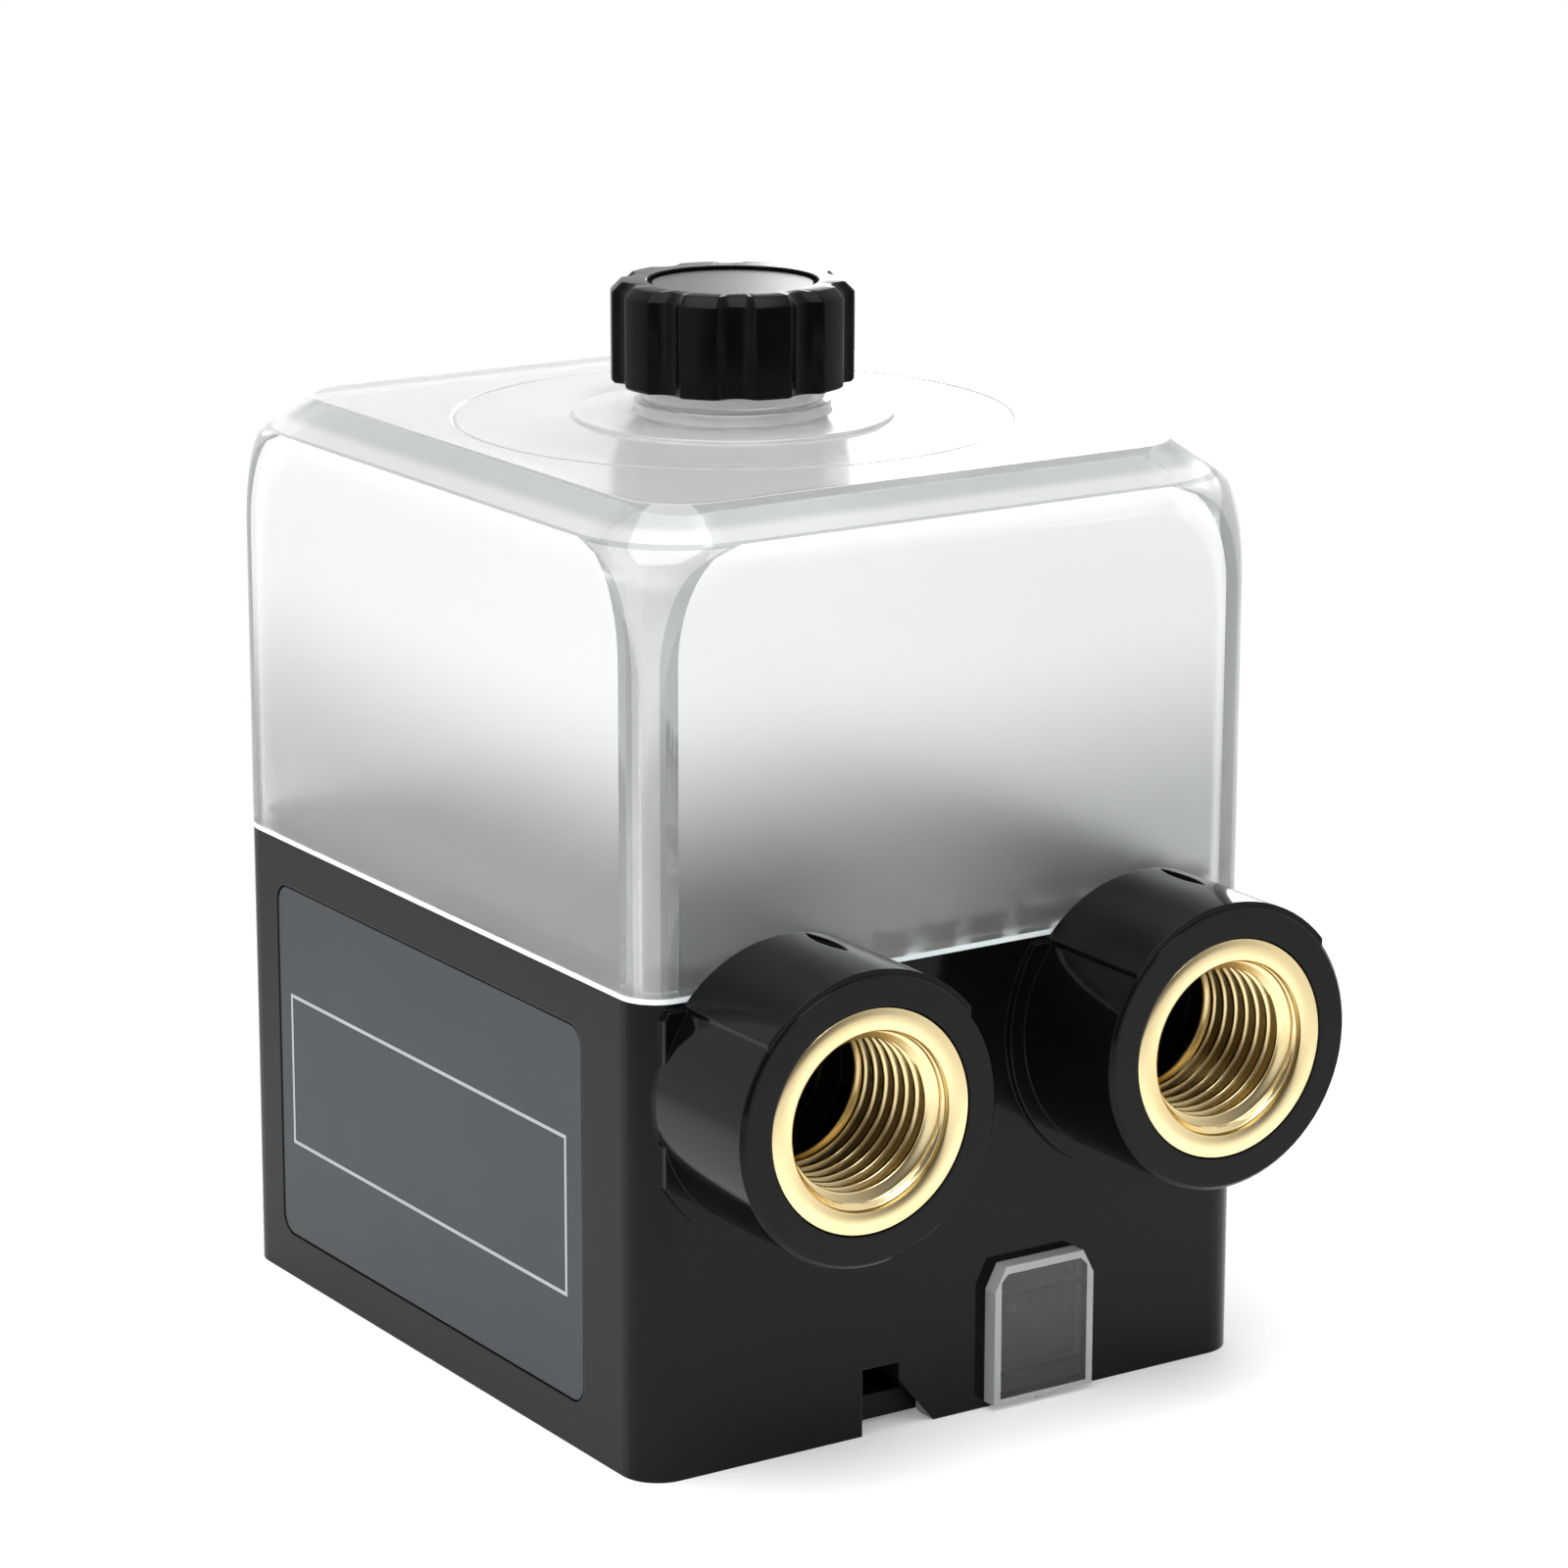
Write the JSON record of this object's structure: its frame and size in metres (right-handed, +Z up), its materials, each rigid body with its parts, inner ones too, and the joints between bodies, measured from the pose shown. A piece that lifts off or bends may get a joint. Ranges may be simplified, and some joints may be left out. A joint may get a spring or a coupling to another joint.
{
  "type": "coolant pump reservoir",
  "caption": "Small wet-rotor coolant pump in a moulded base with two threaded ports, under a frosted rectangular tank with a screwed filler cap.",
  "frame": {"origin": "on the rotor axis, in the plane that the base stands on", "axes": "+Z up along the rotor and filler-cap axis, -Y out of the two ports, +X across the port face to the inlet port"},
  "size_m": [0.0553, 0.0735, 0.0828],
  "materials": {
    "housing": "moulded black ABS, glossy",
    "insert": "turned",
    "cover": "moulded, fine texture",
    "screw": "bright zinc",
    "floor": "moulded black",
    "seal": "moulded rubber",
    "gasket": "translucent silicone",
    "tank": "clear moulding with frosted panels",
    "can": "moulded, glass filled",
    "ceramic": "ground ceramic",
    "lamination": "stamped electrical steel",
    "insulator": "moulded nylon",
    "winding": "enamelled copper wire",
    "board": "solder mask",
    "chip": "moulded epoxy",
    "capacitor": "drawn can",
    "header": "moulded nylon",
    "pin": "tinned",
    "clear": "clear polycarbonate",
    "label": "printed polyester film",
    "impeller": "moulded",
    "magnet": "bonded ferrite",
    "carbon": "ground carbon",
    "cap": "moulded black"
  },
  "bodies": {
    "root": {"base_housing": "housing", "outlet_insert": "insert", "inlet_insert": "insert", "bottom_cover": "cover", "cover_screws": "screw", "tank_floor": "floor", "floor_screws": "screw", "volute_seal": "seal", "tank_seal": "gasket", "reservoir_tank": "tank", "rotor_can": "can", "can_screws": "screw", "can_seal": "seal", "rotor_shaft": "ceramic", "thrust_washers": "ceramic", "stator_core": "lamination", "stator_insulator": "insulator", "stator_coils": "winding", "driver_board": "board", "board_chips": "chip", "smoothing_capacitor": "capacitor", "hall_sensor": "chip", "connector_header": "header", "connector_pins": "pin", "connector_cover": "clear", "label_plate": "label"},
    "rotor": {"impeller": "impeller", "rotor_magnet": "magnet", "rotor_bushes": "carbon"},
    "seal_ring": {"cap_seal": "seal"},
    "cap": {"filler_cap": "cap"}
  },
  "joints": [
    {"name": "rotor_spin", "type": "hinge", "parent": "root", "child": "rotor", "pos_m": [0, 0, 0.02], "axis": [0, 0, 1], "continuous": true},
    {"name": "cap_lift", "type": "slide", "parent": "root", "child": "seal_ring", "axis": [0, 0, 1], "range_m": [0, 0.0061]},
    {"name": "cap_turn", "type": "hinge", "parent": "seal_ring", "child": "cap", "pos_m": [0, 0, 0.079], "axis": [0, 0, 1], "range_deg": [0, 1080]}
  ],
  "couplings": [
    {"joint": "cap_lift", "follows": "cap_turn", "m_per_rad": 0.00031831}
  ]
}
